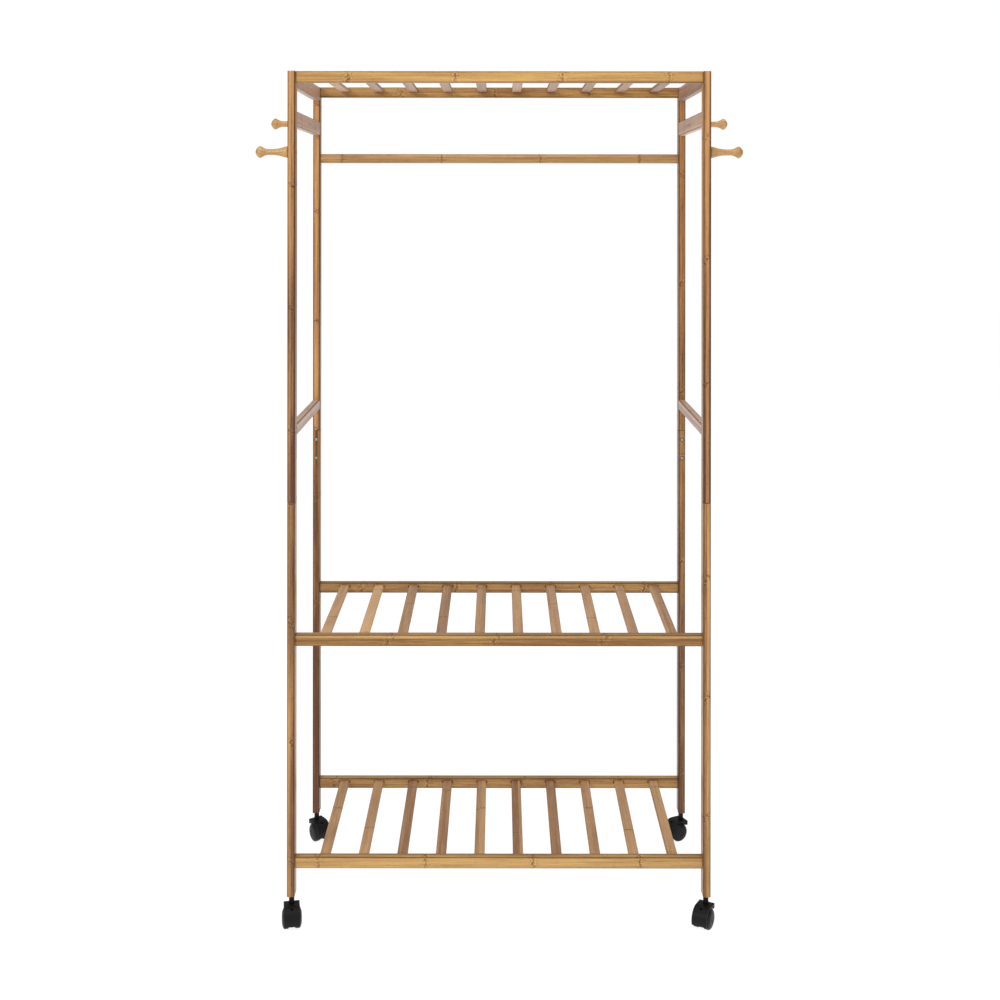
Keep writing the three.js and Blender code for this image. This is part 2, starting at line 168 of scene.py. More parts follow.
def shade(piece, smooth):
    """Smooth shading up to an angle, with the flat faces kept flat up to their round edges."""
    bpy.ops.object.select_all(action="DESELECT")
    piece.select_set(True)
    bpy.context.view_layer.objects.active = piece
    bpy.ops.object.shade_smooth_by_angle(angle=math.radians(smooth))
    use_modifier(piece, "WEIGHTED_NORMAL", keep_sharp=True)


def turned(name, profile, sides=32, soft=0.0):
    """A round piece about the Z axis, drawn out ring by ring from [radius, z] pairs going up."""
    (radius, height), *others = profile
    bpy.ops.object.select_all(action="DESELECT")
    bpy.ops.mesh.primitive_circle_add(vertices=sides, radius=radius, fill_type="NGON",
                                      location=(0, 0, height))
    piece = start(name)
    bpy.ops.mesh.select_all(action="SELECT")
    for next_radius, next_height in others:
        bpy.ops.mesh.extrude_region_move(
            TRANSFORM_OT_translate={"value": (0, 0, next_height - height)})
        grow = next_radius / radius
        bpy.ops.transform.resize(value=(grow, grow, 1), center_override=(0, 0, next_height))
        radius, height = next_radius, next_height
    bpy.ops.mesh.select_all(action="SELECT")
    bpy.ops.mesh.normals_make_consistent(inside=False)
    return close(piece, soft)


def cut(piece, tool, operation="DIFFERENCE"):
    """Cuts a tool out of a piece, or joins it on, and removes the tool."""
    use_modifier(piece, "BOOLEAN", object=tool, operation=operation, solver="EXACT")
    bpy.data.objects.remove(tool)
    return piece


def place(piece, matrix):
    piece.data.transform(matrix)
    piece.data.update()
    return piece


def copy_of(piece, name, matrix=Matrix.Identity(4)):
    copy = piece.copy()
    copy.data = piece.data.copy()
    copy.name = copy.data.name = name
    bpy.context.scene.collection.objects.link(copy)
    return place(copy, matrix)


def moved(x, y, z):
    return Matrix.Translation((x, y, z))


def pointing(axis, sign=1):
    """Turns a piece made about +Z to point along an axis."""
    return (AXES[axis] * sign).to_track_quat("Z", "Y").to_matrix().to_4x4()


# ---- Materials ----
def linear(red, green, blue):
    """A colour given in 0-255 screen values as linear light."""
    def channel(value):
        value /= 255
        return value / 12.92 if value <= 0.04045 else ((value + 0.055) / 1.055) ** 2.4
    return (channel(red), channel(green), channel(blue), 1)


class Nodes:
    """Adds nodes to a tree and joins them up in one go."""

    def __init__(self, tree):
        self.tree = tree

    def add(self, kind, inputs=None, **settings):
        node = self.tree.nodes.new(kind)
        for key, value in settings.items():
            setattr(node, key, value)
        for key, value in (inputs or {}).items():
            self.feed(node.inputs[key], value)
        return node

    def feed(self, socket, value):
        if isinstance(value, bpy.types.NodeSocket):
            self.tree.links.new(value, socket)
        else:
            socket.default_value = value

    def math(self, operation, *values, clamp=False):
        node = self.add("ShaderNodeMath", operation=operation, use_clamp=clamp)
        for socket, value in zip(node.inputs, values):
            self.feed(socket, value)
        return node.outputs[0]

    def vector(self, operation, *values):
        node = self.add("ShaderNodeVectorMath", operation=operation)
        for socket, value in zip(node.inputs, values):
            self.feed(socket, value)
        return node.outputs[0]

    def noise(self, place, features, detail=2.0, roughness=0.5):
        """3-D noise with about so many features to the metre along each axis."""
        node = self.add("ShaderNodeTexNoise", {
            "Vector": self.vector("MULTIPLY", place, features), "Scale": 1.0, "Detail": detail,
            "Roughness": roughness})
        return node.outputs["Fac"]

    def step(self, value, low, high, to_low=0.0, to_high=1.0):
        node = self.add("ShaderNodeMapRange", {
            "Value": value, "From Min": low, "From Max": high, "To Min": to_low, "To Max": to_high,
        }, interpolation_type="SMOOTHSTEP")
        return node.outputs["Result"]

    def mix(self, factor, first, second, blend="MIX"):
        node = self.add("ShaderNodeMix", data_type="RGBA", blend_type=blend)
        for socket, value in ((0, factor), (6, first), (7, second)):
            self.feed(node.inputs[socket], value)
        return node.outputs[2]


def new_group(name, inputs, outputs):
    group = bpy.data.node_groups.new(name, "ShaderNodeTree")
    for direction, sockets in (("INPUT", inputs), ("OUTPUT", outputs)):
        for socket_name, kind, *default in sockets:
            socket = group.interface.new_socket(socket_name, in_out=direction,
                                                socket_type="NodeSocket" + kind)
            if default:
                socket.default_value = default[0]
    n = Nodes(group)
    return group, n, n.add("NodeGroupInput").outputs, n.add("NodeGroupOutput").inputs


# Features to the metre along, across and deep in the wood.
CLOUDS = (3, 40, 40)
STREAKS = (5, 260, 260)
THREADS = (25, 1500, 1500)
FLECKS = (90, 1000, 1000)
KNUCKLE_WAVES = (30, 240, 240)
KNUCKLE_BREAKS = (200, 420, 420)
KNUCKLE_SPECKLES = (330, 520, 520)
# How far from a knuckle its dark line and its speckled band are full, and end.
KNUCKLE_LINE = (0.6 * MM, 3 * MM)
KNUCKLE_BAND = (2 * MM, 14 * MM)
KNUCKLE_SHIFT = 12 * MM  # the most that a strip, or a wave in it, moves a knuckle
MIDDLE_SHADE = 0.42  # 0 is the light colour and 1 the dark one
# The dark tint of the knuckle lines, also multiplied in for painted shade along the long edges.
KNUCKLE_AND_EDGE_SHADE_TINT = (0.30, 0.21, 0.15, 1)


def bamboo_grain():
    """Fibres, glued strips and knuckles, placed along, across and deep in the wood, and painted
    shade along the long edges.
    """
    group, n, given, out = new_group(
        "bamboo_grain",
        [("Place", "Vector"), ("Tone", "Float", 0.0), ("Light", "Color"), ("Dark", "Color"),
         ("Knuckle spacing", "Float", 0.22), ("Strip", "Float", 0.02), ("Contrast", "Float", 1.0),
         ("Edge", "Float", 0.0)],
        [("Color", "Color"), ("Roughness", "Float"), ("Height", "Float")],
    )
    place = given["Place"]
    parts = n.add("ShaderNodeSeparateXYZ", {0: place}).outputs
    run, across, deep = parts[0], parts[1], parts[2]
    # The glued strips, each with its own tone and its own knuckles.
    wave = n.noise(place, CLOUDS, 1)
    column = n.math("FLOOR", n.math("DIVIDE", across, given["Strip"]))
    layer = n.math("FLOOR", n.math("DIVIDE", deep, given["Strip"]))
    strip = n.add("ShaderNodeCombineXYZ", {0: column, 1: layer, 2: 0.5}).outputs[0]
    own = n.add("ShaderNodeTexWhiteNoise", {"Vector": strip}).outputs
    strip_tone = n.math("SUBTRACT", own["Value"], 0.5)
    # Fibres: long streaks, fine threads and short dark flecks.
    streaks = n.noise(place, STREAKS, 3, 0.6)
    threads = n.noise(place, THREADS)
    flecks = n.step(n.noise(place, FLECKS, 1), 0.60, 0.74)
    # Knuckles: a dark wavy line across each strip, in a speckled band.
    shift = n.math("MULTIPLY", own["Value"], KNUCKLE_SHIFT)
    wobble = n.math("MULTIPLY", n.noise(place, KNUCKLE_WAVES), KNUCKLE_SHIFT)
    reach = n.math("ADD", run, n.math("ADD", shift, wobble))
    cell = n.math("FRACT", n.math("DIVIDE", reach, given["Knuckle spacing"]))
    off_middle = n.math("ABSOLUTE", n.math("SUBTRACT", cell, 0.5))
    away = n.math("MULTIPLY", off_middle, given["Knuckle spacing"])
    broken = n.step(n.noise(place, KNUCKLE_BREAKS, 1), 0.35, 0.6, 0.25, 1.0)
    line = n.math("MULTIPLY", n.step(away, *KNUCKLE_LINE, 1.0, 0.0), broken)
    band = n.step(away, *KNUCKLE_BAND, 1.0, 0.0)
    speckles = n.step(n.noise(place, KNUCKLE_SPECKLES, 1), 0.48, 0.62)
    # Together.
    shade = n.math("MULTIPLY", n.math("SUBTRACT", streaks, 0.5), 1.2)
    shade = n.math("ADD", shade, n.math("MULTIPLY", n.math("SUBTRACT", threads, 0.5), 0.8))
    shade = n.math("ADD", shade, n.math("MULTIPLY", strip_tone, 0.6))
    shade = n.math("ADD", shade, n.math("MULTIPLY", n.math("SUBTRACT", wave, 0.5), 0.7))
    shade = n.math("ADD", n.math("MULTIPLY", shade, given["Contrast"]), MIDDLE_SHADE)
    shade = n.math("ADD", shade, given["Tone"])
    shade = n.math("SUBTRACT", shade, n.math("MULTIPLY", band, 0.2))
    shade = n.math("ADD", shade, n.math("MULTIPLY", n.math("MULTIPLY", speckles, band), 0.75))
    shade = n.math("ADD", shade, n.math("MULTIPLY", flecks, 0.35), clamp=True)
    colour = n.mix(shade, given["Light"], given["Dark"])
    # The knuckle lines' real dark colour, which also serves as the painted shade on the long edges.
    darkened_for_knuckle_and_edge_shade = n.mix(1.0, colour, KNUCKLE_AND_EDGE_SHADE_TINT, "MULTIPLY")
    # Painted shade: the rounded long edges are darkened, as if they were turned away from the
    # light.
    painted_edge_shade = n.step(given["Edge"], 0.05, 0.5, 0.0, 0.9)
    knuckle_and_edge_shade_mask = n.math("MAXIMUM", n.math("MULTIPLY", line, 0.75), painted_edge_shade)
    n.feed(out["Color"], n.mix(knuckle_and_edge_shade_mask, colour, darkened_for_knuckle_and_edge_shade))
    rough = n.math("ADD", 0.32, n.math("MULTIPLY", threads, 0.16))
    n.feed(out["Roughness"], n.math("ADD", rough, n.math("MULTIPLY", line, 0.15)))
    height = n.math("SUBTRACT", n.math("MULTIPLY", threads, 0.25), n.math("MULTIPLY", flecks, 0.4))
    n.feed(out["Height"], n.math("SUBTRACT", height, n.math("MULTIPLY", line, 0.8)))
    return group


# Features to the metre along X, Y and Z.
PEBBLES = (2600, 2600, 2600)
DUST = (90, 90, 90)
SCUFFS = (160, 900, 420)


def moulded_grain():
    """The fine texture of moulded plastic, with dust in it and scuffs on it."""
    group, n, given, out = new_group(
        "moulded_grain",
        [("Place", "Vector"), ("Base", "Color"), ("Worn", "Color"),
         ("Gloss", "Float", 0.4), ("Wear", "Float", 0.5)],
        [("Color", "Color"), ("Roughness", "Float"), ("Height", "Float")],
    )
    place = given["Place"]
    pebble = n.noise(place, PEBBLES)
    dust = n.noise(place, DUST, 3)
    scuff = n.step(n.noise(place, SCUFFS), 0.6, 0.75)
    used = n.math("ADD", n.math("MULTIPLY", scuff, 0.6), dust)
    worn = n.math("MULTIPLY", used, given["Wear"], clamp=True)
    n.feed(out["Color"], n.mix(n.math("MULTIPLY", worn, 0.6), given["Base"], given["Worn"]))
    n.feed(out["Roughness"], n.math("ADD", given["Gloss"], n.math("MULTIPLY", worn, 0.2)))
    n.feed(out["Height"], n.math("SUBTRACT", pebble, n.math("MULTIPLY", scuff, 0.3)))
    return group


GRAIN = bamboo_grain()
MOULDED = moulded_grain()


def new_material(name):
    material = bpy.data.materials.new(name)
    material.use_nodes = True
    shader = material.node_tree.nodes["Principled BSDF"]
    return material, Nodes(material.node_tree), shader


def use_pattern(n, shader, pattern, inputs, bump, depth):
    """Joins a pattern to the shader: its colour, its roughness and its relief."""
    made = n.add("ShaderNodeGroup", node_tree=pattern)
    for key, value in inputs.items():
        n.feed(made.inputs[key], value)
    relief = n.add("ShaderNodeBump", {"Height": made.outputs["Height"], "Strength": bump,
                                      "Distance": depth})
    n.feed(shader.inputs["Base Color"], made.outputs["Color"])
    n.feed(shader.inputs["Roughness"], made.outputs["Roughness"])
    n.feed(shader.inputs["Normal"], relief.outputs[0])


LACQUER = {"IOR": 1.5, "Specular IOR Level": 0.35, "Coat Weight": 0.14, "Coat Roughness": 0.3}


def bamboo(name, light, dark, spacing, strip, contrast):
    material, n, shader = new_material(name)
    place, tone, edge = [n.add("ShaderNodeAttribute", attribute_name=kind).outputs
                         for kind in ("grain", "tone", "edge")]
    use_pattern(n, shader, GRAIN, {
        "Place": place["Vector"], "Tone": tone["Fac"], "Light": linear(*light),
        "Dark": linear(*dark), "Knuckle spacing": spacing, "Strip": strip, "Contrast": contrast,
        "Edge": edge["Fac"],
    }, 0.35, 0.4 * MM)
    for key, value in LACQUER.items():
        shader.inputs[key].default_value = value
    return material


def plastic(name, base, worn, gloss, wear, bump):
    material, n, shader = new_material(name)
    use_pattern(n, shader, MOULDED, {
        "Place": n.add("ShaderNodeTexCoord").outputs["Object"], "Base": linear(*base),
        "Worn": linear(*worn), "Gloss": gloss, "Wear": wear,
    }, bump, 0.1 * MM)
    shader.inputs["Specular IOR Level"].default_value = 0.2
    return material


def metal(name, base, worn, gloss, wear):
    material = plastic(name, base, worn, gloss, wear, 0.15)
    material.node_tree.nodes["Principled BSDF"].inputs["Metallic"].default_value = 1
    return material


RAIL_SPACING = 0.205  # between the knuckles of a rail
ROD_SPACING = 0.216
KNUCKLE_DRIFT = 14 * MM  # how far the pattern moves a knuckle on average
POST_STRIP = 6.1 * MM  # width of a glued strip
WIDE_STRIP = 30.1 * MM
ROD_STRIP = 50.1 * MM
# Light and dark colour, knuckle spacing, strip width and contrast.
UPPER_POSTS = bamboo("bamboo_upper_posts", (202, 149, 90), (96, 54, 26), 0.235, POST_STRIP, 1.2)
LOWER_POSTS = bamboo("bamboo_lower_posts", (208, 156, 90), (94, 53, 24), 0.228, POST_STRIP, 1.2)
RAILS = bamboo("bamboo_rails", (214, 170, 100), (128, 84, 38), RAIL_SPACING, WIDE_STRIP, 1.1)
# A paler, pinker copy of the rail colours: painted sheen for side faces seen at a glancing angle.
SIDE_RAILS_PAINTED_SHEEN = bamboo("bamboo_side_rails_painted_sheen", (216, 178, 150), (142, 98, 74), RAIL_SPACING, WIDE_STRIP,
                    0.9)
SLATS = bamboo("bamboo_slats", (224, 178, 124), (146, 98, 60), 0.305, WIDE_STRIP, 0.9)
TURNED = bamboo("turned_bamboo", (212, 168, 106), (136, 94, 50), ROD_SPACING, ROD_STRIP, 1.0)
# Base and worn colour, roughness and wear, and for a plastic its relief.
ZINC = metal("zinc", (196, 196, 192), (120, 118, 112), 0.24, 0.5)
# Painted shade: the peg screws are darkened to stand for the shade down in their deep holes.
SCREW_PAINTED_SHADE = metal("screw_painted_shade", (46, 44, 42), (24, 24, 24), 0.4, 0.5)
BLACK_STEEL = metal("black_steel", (30, 30, 32), (70, 68, 66), 0.35, 0.6)
NYLON = plastic("black_nylon", (14, 14, 17), (30, 30, 34), 0.46, 0.5, 0.35)
WHEEL_BLACK = plastic("wheel_black", (12, 12, 14), (34, 33, 35), 0.32, 0.6, 0.2)


def give_grain(piece, axis, seed, tone, knuckle=None, spacing=RAIL_SPACING, rounding=0.0):
    """Writes each point's place along, across and deep in the wood, its tone and its edge.

    The seed picks a spot of the pattern. A tone of two values goes from the low end to the high
    end. A knuckle puts one of the wood's knuckles about there along the axis. The rounding of a
    bar's long edges marks the points on them, where the material paints shade.
    """
    points = [v.co for v in piece.data.vertices]
    low = Vector([min(p[i] for p in points) for i in range(3)])
    high = Vector([max(p[i] for p in points) for i in range(3)])
    middle = (low + high) / 2
    order = {"x": (0, 2, 1), "y": (1, 0, 2), "z": (2, 0, 1)}[axis]
    run = order[0]
    offset = Vector((seed * 0.0731 % 1.0, seed * 0.37 + 0.011, seed * 0.23 + 0.007))
    if knuckle is not None:
        offset.x = spacing / 2 - (knuckle - middle[run]) - KNUCKLE_DRIFT
    low_tone, high_tone = tone if isinstance(tone, tuple) else (tone, tone)
    places, tones, edges = [], [], []
    for p in points:
        places.extend(Vector([p[i] - middle[i] for i in order]) + offset)
        part = (p[run] - low[run]) / (high[run] - low[run])
        tones.append(low_tone + (high_tone - low_tone) * part)
        inwards = max(min(p[i] - low[i], high[i] - p[i]) for i in order[1:])
        edges.append(max(0.0, 1 - inwards / rounding) if rounding else 0.0)
    attributes = piece.data.attributes
    attributes.new("grain", "FLOAT_VECTOR", "POINT").data.foreach_set("vector", places)
    attributes.new("tone", "FLOAT", "POINT").data.foreach_set("value", tones)
    attributes.new("edge", "FLOAT", "POINT").data.foreach_set("value", edges)


def fit(piece, material, body="root", stands_for=(), smooth=35):
    """Gives a finished piece its shading and material, and says what it rides on and stands for."""
    place(piece, Matrix.Translation(MIDDLE))
    shade(piece, smooth)
    piece.data.materials.clear()
    piece.data.materials.append(material)
    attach(piece, body)
    if stands_for:
        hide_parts(*stands_for)
    return piece


# ---- Places from the frame ----
# Everything is drawn about the middle of the four posts, and fit() moves it to that middle.
MIDDLE = (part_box("front_left_upper_post")[0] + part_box("back_right_upper_post")[1]) / 2
MIDDLE.z = 0


def box(node):
    low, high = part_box(node)
    return low - MIDDLE, high - MIDDLE


post_low, post_high = box("front_left_upper_post")
POST_SIZE = post_high - post_low
INNER_X = -post_high.x  # inner faces of the posts
INNER_Y = -post_high.y
POST_X = INNER_X + POST_SIZE.x / 2
POST_Y = INNER_Y + POST_SIZE.y / 2
ROD_LOW, ROD_HIGH = box("hanging_rod")


# ---- Posts ----
POST_TONES = {  # at the low end and at the high end
    "front_left": {"upper": (0.56, -0.26), "lower": (0.10, -0.10)},
    "front_right": {"upper": (0.44, -0.16), "lower": (0.12, 0.0)},
    "back_left": {"upper": (0.04, -0.06), "lower": (0.52, 0.18)},
    "back_right": {"upper": (0.12, -0.06), "lower": (0.60, 0.26)},
}


def post(name, low, high, tongue_end, towards, shoulder):
    """A post half: a bar up to its shoulder, with half of its end drawn out as a tongue."""
    centre_y = (low.y + high.y) / 2
    upper = tongue_end < shoulder
    full_low, full_high = low.copy(), high.copy()
    if upper:
        full_low.z = shoulder
    else:
        full_high.z = shoulder
    piece = start_block(name, full_low, full_high)
    select("FACE", facing((0, 0, -1 if upper else 1)))
    seam = centre_y + towards * SEAM / 2
    bpy.ops.mesh.bisect(plane_co=(0, seam, shoulder), plane_no=(0, 1, 0))

    def at_tongue(face):
        middle = face.calc_center_median()
        return abs(middle.z - shoulder) < TINY and (middle.y - seam) * towards > 0
    select("FACE", at_tongue)
    bpy.ops.mesh.extrude_region_move(
        TRANSFORM_OT_translate={"value": (0, 0, tongue_end - shoulder)})

    def at_corner(edge):
        middle = (edge.verts[0].co + edge.verts[1].co) / 2
        return (along("z")(edge) and min(abs(middle.x - low.x), abs(middle.x - high.x)) < TINY
                and min(abs(middle.y - low.y), abs(middle.y - high.y)) < TINY)
    round_edges(at_corner, EDGE_RADIUS)
    return close(piece, 0.8 * MM)


def bolt_hole(radius, depth, matrix):
    """A tool that cuts a round hole of a depth into a face at the origin of the matrix."""
    tool = turned("tool", [(radius, -depth), (radius, depth)], 24)
    return place(tool, matrix)


def make_posts():
    seed = 1
    for end_name, end in ENDS.items():
        for side_name, side in SIDES.items():
            name = f"{end_name}_{side_name}"
            upper, lower = box(f"{name}_upper_post"), box(f"{name}_lower_post")
            lap_bottom, lap_top = upper[0].z, lower[1].z
            made = {
                "upper": post(f"{name}_upper_post_wood", *upper, lap_bottom, end, lap_top + SEAM),
                "lower": post(f"{name}_lower_post_wood", *lower, lap_top, -end, lap_bottom - SEAM),
            }
            for bolt in (1, 2):
                low, high = box(f"{name}_lap_bolt_{bolt}")
                face = end * (POST_Y - POST_SIZE.y / 2)
                spot = moved((low.x + high.x) / 2, face, (low.z + high.z) / 2) @ pointing("y", end)
                cut(made["lower"], bolt_hole(BOLT_HEAD + SEAM, BOLT_SEAT + SEAM, spot))
            if end_name == "front":
                screw = box(f"{side_name}_front_peg_screw")
                drill_for_peg(made["upper"], side, end * POST_Y, screw)
            for half, piece in made.items():
                seed += 1
                give_grain(piece, "z", seed, POST_TONES[name][half], rounding=EDGE_RADIUS)
                material = UPPER_POSTS if half == "upper" else LOWER_POSTS
                fit(piece, material, "root", [f"{name}_{half}_post"])


def drill_for_peg(piece, side, y, screw_box):
    """The hole over a peg's screw, in the inner face of a post or rail."""
    low, high = screw_box
    radius = (high.z - low.z) / 2 + SEAM
    spot = moved(side * INNER_X, y, (low.z + high.z) / 2) @ pointing("x", side)
    cut(piece, bolt_hole(radius, SCREW_SEAT, spot))


# ---- Rails ----
SIDE_RAIL_TONES = {"top": 0.2, "peg": -0.3, "middle": 0.1}
RAIL_TONES = {
    "top": {"front": -0.24, "back": 0.46},
    "middle": {"front": 0.24, "back": 0.38},
    "bottom": {"front": 0.08, "back": -0.02},
}
RAIL_KNUCKLES = {  # where one of the knuckles is, from the middle of the rail
    "top": {"front": -0.085, "back": -0.221},
    "middle": {"front": -0.211, "back": 0.11},
    "bottom": {"front": 0.06, "back": -0.15},
}
SLAT_TONES = {  # from left to right
    # The top shelf's slats are darker: painted shade on their undersides, which are seen from
    # below.
    "top": (0.46, 0.54, 0.56, 0.48, 0.52, 0.44, 0.54, 0.50, 0.56, 0.48),
    "middle": (0.06, -0.55, 0.06, 0.16, 0.12, 0.12, 0.06, 0.16, -0.02, 0.24),
    "bottom": (-0.06, 0.02, 0.14, 0.04, 0.22, 0.18, 0.14, 0.18, 0.00, 0.12),
}


def make_side_rails():
    seed = 20
    for side_name, side in SIDES.items():
        for rail in ("top", "peg", "middle"):
            node = f"{side_name}_{rail}_side_rail"
            low, high = box(node)
            low.y, high.y = SEAM - INNER_Y, INNER_Y - SEAM
            piece = start_block(f"{node}_wood", low, high)
            round_edges(along("y"), EDGE_RADIUS)
            close(piece)
            if rail == "peg":
                drill_for_peg(piece, side, 0, box(f"{side_name}_side_peg_screw"))
            seed += 1
            give_grain(piece, "y", seed, SIDE_RAIL_TONES[rail], rounding=EDGE_RADIUS)
            fit(piece, SIDE_RAILS_PAINTED_SHEEN, "root", [node])


def slot_cutter(end, top, extra):
    """Ten round-ended slots, where the slats enter a rail."""
    face = end * (POST_Y - SHELF_RAIL_DEPTH / 2)
    reach = face + end * (SLAT_HOUSED + SEAM)
    half = SLAT_WIDTH / 2 + extra
    height = SLAT_THICKNESS + 2 * SEAM
    low_z = top - SLAT_DROP - SLAT_THICKNESS - SEAM
    ys = sorted((face - end * 2 * MM, reach))
    first = start_block("slots", (-half, ys[0], low_z), (half, ys[1], low_z + height))
    round_edges(along("y"), height / 2 - 0.05 * MM, 5)
    bpy.ops.object.mode_set(mode="OBJECT")
    slots = [copy_of(first, "slot", moved(x, 0, 0)) for x in slat_places()]
    bpy.data.objects.remove(first)
    bpy.ops.object.select_all(action="DESELECT")
    for slot in slots:
        slot.select_set(True)
    bpy.context.view_layer.objects.active = slots[0]
    bpy.ops.object.join()
    return slots[0]


def slat_places():
    pitch = (2 * (INNER_X - SLAT_END_GAP) - SLAT_WIDTH) / (SLAT_COUNT - 1)
    return [(i - (SLAT_COUNT - 1) / 2) * pitch for i in range(SLAT_COUNT)]


def make_shelves():
    seed = 40
    for shelf in SHELVES:
        low, high = box(f"{shelf}_front_shelf_rail")
        joined = f"{shelf}_back_rail_and_slats"
        for end_name, end in ENDS.items():
            middle_y = end * POST_Y
            piece = start_block(
                f"{shelf}_{end_name}_rail_wood",
                (SEAM - INNER_X, middle_y - SHELF_RAIL_DEPTH / 2, low.z),
                (INNER_X - SEAM, middle_y + SHELF_RAIL_DEPTH / 2, high.z),
            )
            round_edges(along("x"), RAIL_EDGE)
            close(piece)
            cut(piece, slot_cutter(end, high.z, SLOT_EXTRA[shelf]))
            seed += 1
            give_grain(piece, "x", seed, RAIL_TONES[shelf][end_name],
                       RAIL_KNUCKLES[shelf][end_name], rounding=RAIL_EDGE)
            node = joined if end_name == "back" else f"{shelf}_front_shelf_rail"
            fit(piece, RAILS, "root", [node])
        seed = make_slats(shelf, high.z - SLAT_DROP, joined, seed)


def make_slats(shelf, top, joined, seed):
    half_length = POST_Y - SHELF_RAIL_DEPTH / 2 + SLAT_HOUSED
    slat = start_block("slat", (-SLAT_WIDTH / 2, -half_length, top - SLAT_THICKNESS),
                       (SLAT_WIDTH / 2, half_length, top))
    round_edges(along("y"), SLAT_EDGE, 3)
    close(slat, 0.3 * MM)
    for i, x in enumerate(slat_places()):
        piece = copy_of(slat, f"{shelf}_slat_{i + 1}", moved(x, 0, 0))
        seed += 1
        give_grain(piece, "y", seed * 1.37, SLAT_TONES[shelf][i], rounding=SLAT_EDGE)
        fit(piece, SLATS, "root", [joined])
    bpy.data.objects.remove(slat)
    return seed


# ---- Rod and pegs ----
TURNED_TONE = -0.16
ROD_KNUCKLE = -0.123  # where one of the knuckles is, from the middle of the rod


def make_rod():
    radius = (ROD_HIGH.z - ROD_LOW.z) / 2
    half = INNER_X - SEAM
    rounding = 0.8 * MM
    rod = turned("hanging_rod_wood", [
        (radius - rounding, -half), (radius - 0.2 * rounding, 0.3 * rounding - half),
        (radius, rounding - half), (radius, 0), (radius, half - rounding),
        (radius - 0.2 * rounding, half - 0.3 * rounding), (radius - rounding, half),
    ], 48)
    place(rod, moved(0, POST_Y, (ROD_LOW.z + ROD_HIGH.z) / 2) @ pointing("x"))
    give_grain(rod, "x", 91, TURNED_TONE, ROD_KNUCKLE, ROD_SPACING)
    fit(rod, TURNED, "root", ["hanging_rod"])


PEG_PROFILE = [  # radius and distance from the base, in millimetres
    (10.2, 0.2), (11, 0.8), (11, 3), (10.2, 6.5), (8.9, 11), (7.6, 16), (6.6, 21), (6.1, 26),
    (5.9, 32), (5.9, 38), (6.2, 42), (7.2, 45.5), (9.0, 49), (10.8, 52), (11.4, 53.4),
    (11.5, 54.6), (11.2, 55.8), (10.0, 57.6), (7.8, 59.8), (5.2, 61.6), (2.6, 62.7), (0.8, 63),
]


def make_pegs():
    model = turned("peg", [(radius * MM, height * MM) for radius, height in PEG_PROFILE], 40)
    seed = 95
    for side_name, side in SIDES.items():
        for kind in ("front", "side"):
            node = f"{side_name}_{kind}_peg"
            low, high = box(node)
            base = moved(side * (INNER_X + POST_SIZE.x), (low.y + high.y) / 2, (low.z + high.z) / 2)
            piece = copy_of(model, f"{node}_wood", base @ pointing("x", side))
            seed += 1
            give_grain(piece, "x", seed, TURNED_TONE)
            fit(piece, TURNED, "root", [node], smooth=60)
    bpy.data.objects.remove(model)


# ---- Bolts and screws ----
BOLT_PROFILE = [  # radius and height over the face under the head, in millimetres, from the tip
    (2.2, 22), (2.5, 21.5), (2.5, 0.3), (3.0, 0.1), (3.2, -0.3), (3.15, -0.9), (2.9, -1.5),
    (2.6, -1.8), (2.2, -1.9),
]
SCREW_PROFILE = [
    (0.6, 30), (1.8, 26), (2.0, 3.0), (2.8, 0.2), (2.9, -0.4), (2.8, -1.2), (2.5, -1.8),
    (1.8, -2.1), (1.0, -2.2),
]
SOCKET_RADIUS = 1.7 * MM
SOCKET_FLOOR = -0.6 * MM
CROSS_ARM, CROSS_HALF = 2.2 * MM, 0.35 * MM
CROSS_FLOOR = -0.9 * MM
OVER_HEAD = -3 * MM  # where the tools for the sockets begin, clear of a head
BOLT_SMOOTH = 50  # degrees


def headed(name, profile):
    """A bolt or screw whose head is below the origin and whose shank points up from it."""
    going_up = [(radius * MM, height * MM) for radius, height in reversed(profile)]
    return turned(name, going_up, 28)


def socket_bolt():
    socket = turned("socket", [(SOCKET_RADIUS, OVER_HEAD), (SOCKET_RADIUS, SOCKET_FLOOR)], 6)
    return cut(headed("bolt", BOLT_PROFILE), socket)


def cross_screw():
    screw = headed("screw", SCREW_PROFILE)
    for x, y in ((CROSS_ARM, CROSS_HALF), (CROSS_HALF, CROSS_ARM)):
        cut(screw, close(start_block("cross", (-x, -y, OVER_HEAD), (x, y, CROSS_FLOOR)), 0))
    return screw


